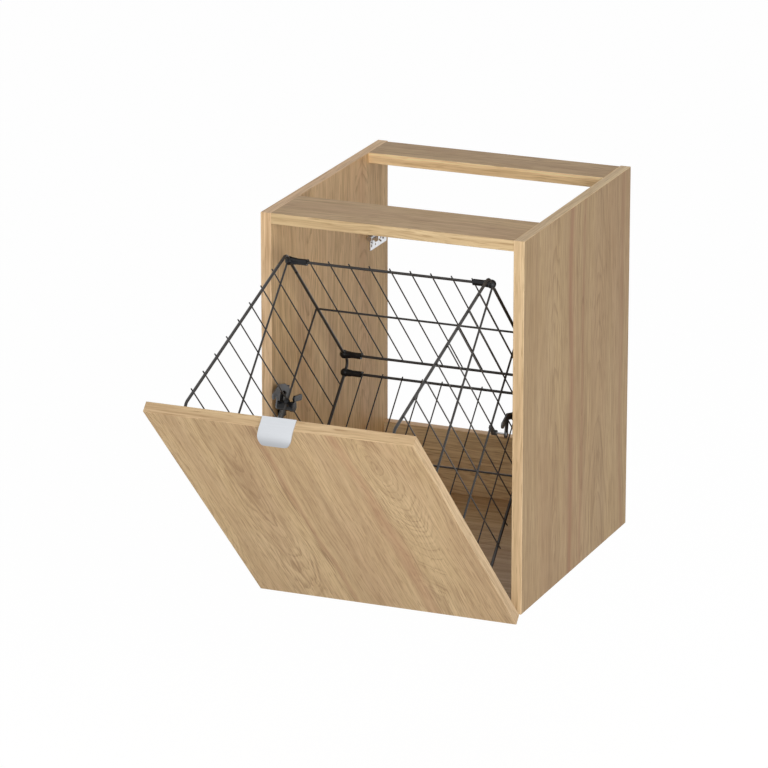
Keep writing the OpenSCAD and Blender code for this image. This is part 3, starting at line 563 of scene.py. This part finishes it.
def make_softbox(name, direction, distance, size, watts, mirrored=True):
    """A square soft lamp aimed at the object; mirrored says whether gloss shows it."""
    light = bpy.data.lights.new(name, "AREA")
    light.shape = "SQUARE"
    light.size = size
    light.energy = watts
    lamp = bpy.data.objects.new(name, light)
    back = Vector(direction).normalized()
    lamp.location = Vector(MIDDLE) + back * distance
    lamp.rotation_mode = "QUATERNION"
    lamp.rotation_quaternion = (-back).to_track_quat("-Z", "Y")
    lamp.visible_camera = False
    lamp.visible_glossy = mirrored
    bpy.context.scene.collection.objects.link(lamp)


def dress_sides():
    # The tints hold painted light: the left side's inner face is lightened and the right side's outer face
    # darkened, as light falls on them.
    right = oak("oak_right", UPRIGHT_SIDE, seed=1.0, contrast=0.85,
                tone_and_painted_light=(0.845, 0.82, 0.755), edge_tone_and_painted_light=(1.51, 1.59, 1.67),
                hearts=((-0.305, -0.04, 0.09), (-0.125, -0.03, 0.11), (-0.195, 0.43, 0.08),
                        (-0.40, 0.0, 0.0)),
                streaks=((-0.240, 0.013, 0.75), (-0.195, 0.009, 0.45), (-0.030, 0.012, 0.4)),
                dashes=((-0.246, 0.008, 0.5), (-0.41, 0.012, 0.3)),
                arches=((-0.132, 0.20, -1, 0.100, 0.55), (-0.132, 0.15, -1, 0.085, 0.40),
                        (-0.128, 0.09, -1, 0.080, 0.55), (-0.306, 0.12, -1, 0.060, 0.50),
                        (-0.306, 0.08, -1, 0.050, 0.40)),
                knots=((-0.195, 0.40, 0.004),))
    left = oak("oak_left", UPRIGHT_SIDE, seed=4.0, tone_and_painted_light=(1.42, 1.40, 1.30), edge_tone_and_painted_light=(1.72, 1.75, 1.86),
               hearts=((-0.30, 0.75, 0.12), (-0.10, -0.05, 0.14)),
               streaks=((-0.10, 0.02, 0.2),), dashes=((-0.2, 0.02, 0.3),))
    dress(right, "right_side_panel")
    dress(left, "left_side_panel")


def dress_cross_boards():
    rail_hearts = ((-0.45, 0.5, 0.06), (0.0, -0.4, 0.10))
    # The tints hold painted light as well as tone; the back board's tint is mostly painted light that
    # lightens the shaded inside.
    front_rail = oak("oak_front_rail", LYING, seed=3.0, tone_and_painted_light=(1.12, 1.08, 1.0), edge_tone_and_painted_light=(1.42, 1.50, 1.53),
                     hearts=rail_hearts)
    rear_rail = oak("oak_rear_rail", LYING, seed=3.0, tone_and_painted_light=(1.0, 0.96, 0.88), edge_tone_and_painted_light=(2.15, 2.34, 2.42),
                    hearts=rail_hearts)
    bottom = oak("oak_bottom", LYING, seed=5.0, hearts=((-0.2, 0.4, 0.10),))
    back = oak("oak_back", UPRIGHT_LEVEL_GRAIN, seed=7.0, tone_and_painted_light=(1.60, 1.83, 2.08),
               hearts=((0.05, 0.3, 0.10),))
    dress(front_rail, "front_top_rail")
    dress(rear_rail, "rear_top_rail")
    dress(bottom, "bottom_panel")
    dress(back, "back_board")


def dress_front():
    # The front's tints are its tone together with painted light.
    front = oak("oak_front", UPRIGHT_FRONT, leaning=True, seed=2.0,
                tone_and_painted_light=(1.15, 1.15, 1.08), edge_tone_and_painted_light=(1.31, 1.35, 1.41),
                hearts=((-0.106, 0.62, 0.085), (-0.02, 0.0, 0.0), (0.127, 0.473, 0.25), (0.21, 0.2, 0.03),
                        (-0.222, 0.34, 0.18)),
                streaks=((0.080, 0.018, 0.42), (-0.040, 0.008, 0.35)),
                dashes=((-0.047, 0.014, 0.95), (0.092, 0.005, 0.7), (-0.13, 0.01, 0.4)),
                arches=((-0.106, 0.227, 1, 0.044, 0.85), (-0.106, 0.265, 1, 0.028, 0.55),
                        (-0.104, 0.190, 1, 0.062, 0.40), (-0.094, 0.035, 1, 0.066, 0.60),
                        (-0.094, 0.060, 1, 0.048, 0.40), (0.122, 0.290, 1, 0.085, 0.45),
                        (0.122, 0.262, 1, 0.105, 0.35)))
    dress(front, "front_panel")


def dress_fittings():
    """Dowels, cam locks, hangers, hinges, levers, screws and bumpers."""
    dress(painted("beech", (0.72, 0.55, 0.32), roughness=0.6), "dowels")
    dress(metal("zinc", (0.80, 0.81, 0.83), roughness=0.28),
          "cam_bolts", "cam_locks", *both("wall_hanger"), *both("hanger_hook"))
    dress(metal("screw_steel", (0.70, 0.71, 0.73), roughness=0.3),
          "hanger_adjusting_screws", "hanger_fixing_screws", "stop_block_screws", "fixed_leaf_screws",
          "handle_screws", "front_leaf_screws", "saddle_screws", *both("lever_shaft"), *both("hinge_pin"))
    dress(metal("hinge_steel", (0.66, 0.67, 0.69), roughness=0.32),
          *both("hinge_fixed_leaf"), *both("hinge_front_leaf"))
    dress(metal("lever_steel", (0.16, 0.165, 0.172), roughness=0.40), *both("stop_lever"))
    dress(painted("bumper_plastic", (0.72, 0.72, 0.70), roughness=0.35), "front_bumpers")


def dress_basket():
    """The basket's wire, and the black plastic on it and beside it."""
    dress(painted("basket_wire", (0.028, 0.025, 0.023), roughness=0.30, specular=0.45),
          "basket_left_side", "basket_right_side", "basket_back_grid", "basket_bottom_grid",
          "right_lever_holder")
    connectors = [end + "_" + side + "_connector" for end in ("upper", "middle", "lower", "front")
                  for side in SIDES]
    plastic = painted("black_plastic", (0.008, 0.0085, 0.010), roughness=0.20, peel=3000.0, depth=0.00001,
                      specular=0.3)
    dress(plastic, *connectors, *both("stop_block"),
          "basket_saddles", "left_lever_holder", "left_release_knob")


def dress_handle():
    """Satin aluminium, brushed along the handle, with painted shade that darkens its lower end, and with
    eased edges.
    """
    low, high = (corner[2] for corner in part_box("handle"))
    shaded_zone = (low, low + SHADED_HEIGHT * (high - low))
    satin = metal("handle_aluminium", (0.72, 0.74, 0.77), roughness=0.44, spangle=0.01,
                  grain=(20.0, 300.0, 300.0), shade_below=shaded_zone)
    dress(satin, "handle")
    handle = eased("handle", HANDLE_EDGE)
    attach(handle, "front")
    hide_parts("handle")


bpy.context.scene.view_settings.view_transform = "Standard"
make_camera()
make_world()
make_floor()
make_softbox("key", direction=(0.38, -0.92, 0.05), distance=2.7, size=2.8, watts=34.0, mirrored=False)
make_softbox("side", direction=(0.75, -0.66, 0.05), distance=2.7, size=2.0, watts=27.0)

dress_sides()
dress_cross_boards()
dress_front()
dress_fittings()
dress_basket()
dress_handle()
